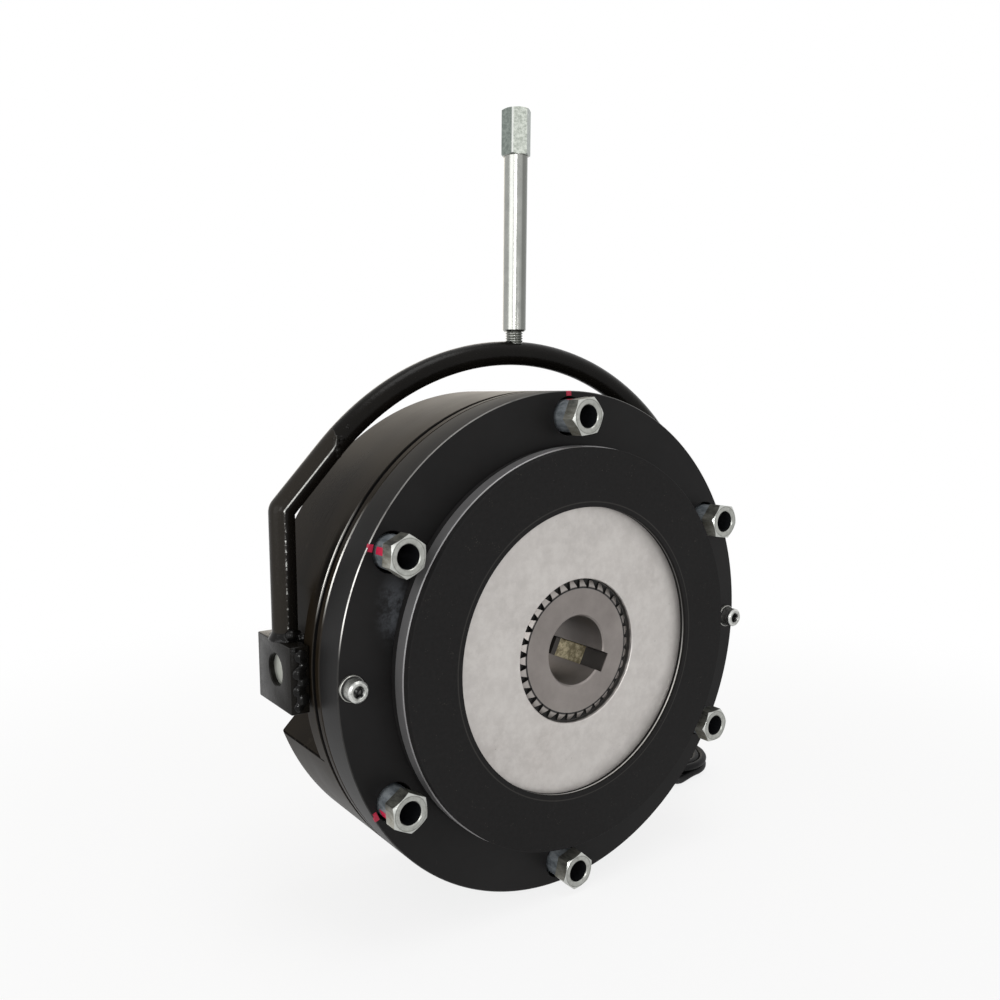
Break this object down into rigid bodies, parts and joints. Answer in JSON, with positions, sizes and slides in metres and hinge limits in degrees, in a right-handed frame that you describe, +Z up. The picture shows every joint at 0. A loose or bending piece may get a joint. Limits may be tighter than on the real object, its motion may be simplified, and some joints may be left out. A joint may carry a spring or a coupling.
{
  "type": "spring applied electromagnetic brake",
  "caption": "Round spring applied electromagnetic brake with a splined rotor, a toothed hub, hollow sleeve bolts, a coil lead and a hand release yoke with a lever.",
  "frame": {"origin": "on the brake's axis, in the mounting plane that the hexagon ends of the sleeve bolts and the front friction lining share", "axes": "+Y along the brake's axis, from the mounting plane back through the stator; +Z up, towards the end of the hand lever; +X to the right, seen from the front"},
  "size_m": [0.3269, 0.1263, 0.3934],
  "materials": {
    "housing_enamel": "glossy dark brown-black enamel",
    "seal_rubber": "matt moulded rubber",
    "bobbin_plastic": "moulded",
    "copper_winding": "enamelled copper wire",
    "potting": "cast resin",
    "spring_steel": "bright drawn wire",
    "zinc_plate": "bright zinc plate",
    "lead_sheath": "satin black sheath",
    "tie_nylon": "black nylon",
    "ferrule_tin": "tinned",
    "hub_steel": "turned steel",
    "carrier_alloy": "light grey alloy, lightly mottled",
    "friction_lining": "pressed friction material, matt",
    "armature_steel": "phosphated steel, satin black",
    "bare_steel": "bare turned steel",
    "black_paint": "glossy black paint"
  },
  "bodies": {
    "stator": {"stator_body": "housing_enamel", "dust_seal": "seal_rubber", "coil_bobbin": "bobbin_plastic", "coil_winding": "copper_winding", "coil_potting": "potting", "brake_springs": "spring_steel", "sleeve_bolts": "zinc_plate", "lead_grommet": "lead_sheath", "lead_run": "lead_sheath", "lead_coil": "lead_sheath", "lead_tie": "tie_nylon", "lead_ends": "ferrule_tin"},
    "hub": {"hub": "hub_steel"},
    "rotor": {"rotor_carrier": "carrier_alloy", "front_lining": "friction_lining", "rear_lining": "friction_lining"},
    "armature": {"armature_plate": "armature_steel", "release_screws": "zinc_plate", "release_washers": "zinc_plate", "trunnion_pins": "bare_steel"},
    "yoke": {"release_yoke": "black_paint", "left_lug": "black_paint", "right_lug": "black_paint", "yoke_welds": "black_paint", "release_lever": "zinc_plate"}
  },
  "joints": [
    {"name": "shaft_spin", "type": "hinge", "parent": "stator", "child": "hub", "pos_m": [0, 0, 0], "axis": [0, 1, 0], "continuous": true},
    {"name": "rotor_float", "type": "slide", "parent": "hub", "child": "rotor", "axis": [0, 1, 0], "range_m": [0, 0.00019]},
    {"name": "armature_slide", "type": "slide", "parent": "stator", "child": "armature", "axis": [0, 1, 0], "range_m": [0, 0.00038], "stiffness_N_per_m": 2000, "springref_m": -0.001},
    {"name": "release_tilt", "type": "hinge", "parent": "armature", "child": "yoke", "pos_m": [0, 0.05848, 0], "axis": [-1, 0, 0], "range_deg": [0, 5], "stiffness_Nm_per_rad": 5, "springref_deg": -2.86}
  ],
  "couplings": [
    {"joint": "armature_slide", "follows": "release_tilt", "m_per_rad": 0.004354},
    {"joint": "rotor_float", "follows": "release_tilt", "m_per_rad": 0.002177}
  ]
}
